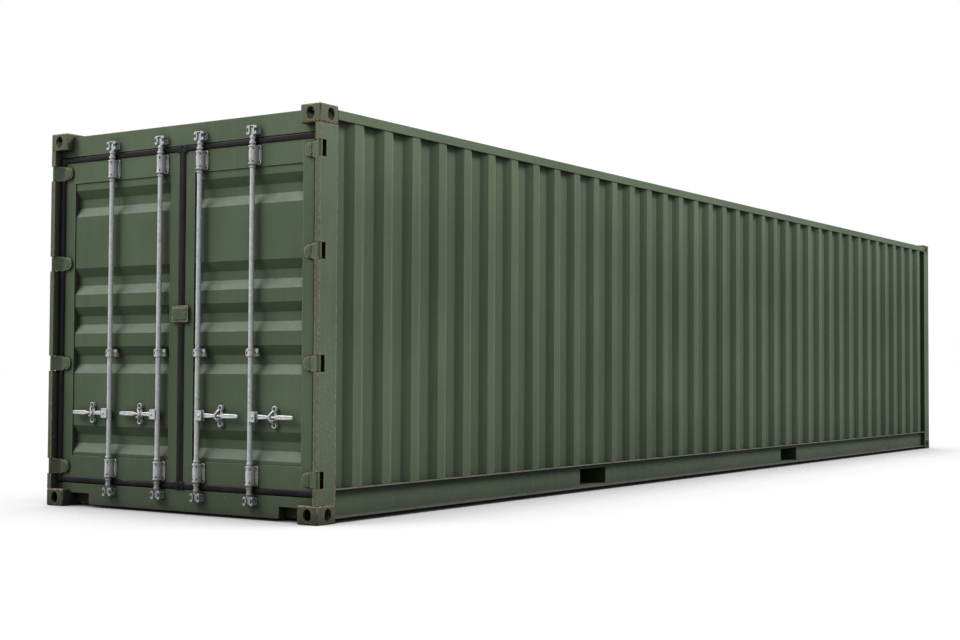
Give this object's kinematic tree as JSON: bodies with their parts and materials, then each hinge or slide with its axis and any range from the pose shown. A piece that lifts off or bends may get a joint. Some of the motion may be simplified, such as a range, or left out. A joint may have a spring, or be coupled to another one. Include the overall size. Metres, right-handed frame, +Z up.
{
  "type": "shipping container",
  "caption": "Long steel shipping container with corrugated walls, corner castings and a pair of hinged end doors held by turning locking bars.",
  "frame": {"origin": "middle of the footprint, on the ground under the bottom castings", "axes": "+X along the length away from the doors, +Y towards the left side as seen facing the doors, +Z up"},
  "size_m": [12.192, 2.438, 2.591],
  "materials": {
    "paint": "matt green paint, chipped at edges",
    "galvanised": "mottled hot-dip galvanising",
    "rubber": "black rubber",
    "floor": "sealed plywood"
  },
  "bodies": {
    "frame": {"top_corner_castings": "paint", "bottom_corner_castings": "paint", "door_post_left": "paint", "door_post_right": "paint", "rear_post_left": "paint", "rear_post_right": "paint", "top_rail_left": "paint", "top_rail_right": "paint", "bottom_rail_left": "paint", "bottom_rail_right": "paint", "door_header": "paint", "door_sill": "paint", "rear_header": "paint", "rear_sill": "paint", "side_wall_left": "paint", "side_wall_right": "paint", "end_wall": "paint", "roof": "paint", "roof_end_plates": "paint", "floor_boards": "floor", "cross_members": "paint", "fork_pocket_sides": "paint", "fork_pocket_tops": "paint", "fork_pocket_straps": "paint", "cam_keepers": "galvanised", "hinge_pins": "paint"},
    "left_door": {"left_door_stiles": "paint", "left_door_rails": "paint", "left_door_panel": "paint", "left_door_gasket": "rubber", "left_hinge_blades": "paint", "left_bar_brackets": "galvanised", "left_handle_retainers": "galvanised"},
    "left_inner_bar": {"left_inner_bar": "galvanised"},
    "left_inner_handle": {"left_inner_handle": "galvanised"},
    "left_outer_bar": {"left_outer_bar": "galvanised"},
    "left_outer_handle": {"left_outer_handle": "galvanised"},
    "right_door": {"right_door_stiles": "paint", "right_door_rails": "paint", "right_door_panel": "paint", "right_door_gasket": "rubber", "right_hinge_blades": "paint", "right_bar_brackets": "galvanised", "right_handle_retainers": "galvanised", "centre_plate": "paint"},
    "right_inner_bar": {"right_inner_bar": "galvanised"},
    "right_inner_handle": {"right_inner_handle": "galvanised"},
    "right_outer_bar": {"right_outer_bar": "galvanised"},
    "right_outer_handle": {"right_outer_handle": "galvanised"}
  },
  "joints": [
    {"name": "left_door_swing", "type": "hinge", "parent": "frame", "child": "left_door", "pos_m": [-6.076, 1.199, 0], "axis": [0, 0, -1], "range_deg": [0, 265]},
    {"name": "right_door_swing", "type": "hinge", "parent": "frame", "child": "right_door", "pos_m": [-6.076, -1.199, 0], "axis": [0, 0, 1], "range_deg": [0, 265]},
    {"name": "left_inner_bar_turn", "type": "hinge", "parent": "left_door", "child": "left_inner_bar", "pos_m": [-6.064, 0.17899, 0], "axis": [0, 0, -1], "range_deg": [-105, 0]},
    {"name": "left_inner_handle_lift", "type": "hinge", "parent": "left_inner_bar", "child": "left_inner_handle", "pos_m": [-6.064, 0.21699, 0.65], "axis": [-1, 0, 0], "range_deg": [-25, 0]},
    {"name": "left_outer_bar_turn", "type": "hinge", "parent": "left_door", "child": "left_outer_bar", "pos_m": [-6.064, 0.6381, 0], "axis": [0, 0, -1], "range_deg": [-105, 0]},
    {"name": "left_outer_handle_lift", "type": "hinge", "parent": "left_outer_bar", "child": "left_outer_handle", "pos_m": [-6.064, 0.6761, 0.65], "axis": [-1, 0, 0], "range_deg": [-25, 0]},
    {"name": "right_inner_bar_turn", "type": "hinge", "parent": "right_door", "child": "right_inner_bar", "pos_m": [-6.064, -0.17899, 0], "axis": [0, 0, 1], "range_deg": [-105, 0]},
    {"name": "right_inner_handle_lift", "type": "hinge", "parent": "right_inner_bar", "child": "right_inner_handle", "pos_m": [-6.064, -0.21699, 0.65], "axis": [1, 0, 0], "range_deg": [-25, 0]},
    {"name": "right_outer_bar_turn", "type": "hinge", "parent": "right_door", "child": "right_outer_bar", "pos_m": [-6.064, -0.6381, 0], "axis": [0, 0, 1], "range_deg": [-105, 0]},
    {"name": "right_outer_handle_lift", "type": "hinge", "parent": "right_outer_bar", "child": "right_outer_handle", "pos_m": [-6.064, -0.6761, 0.65], "axis": [1, 0, 0], "range_deg": [-25, 0]}
  ]
}
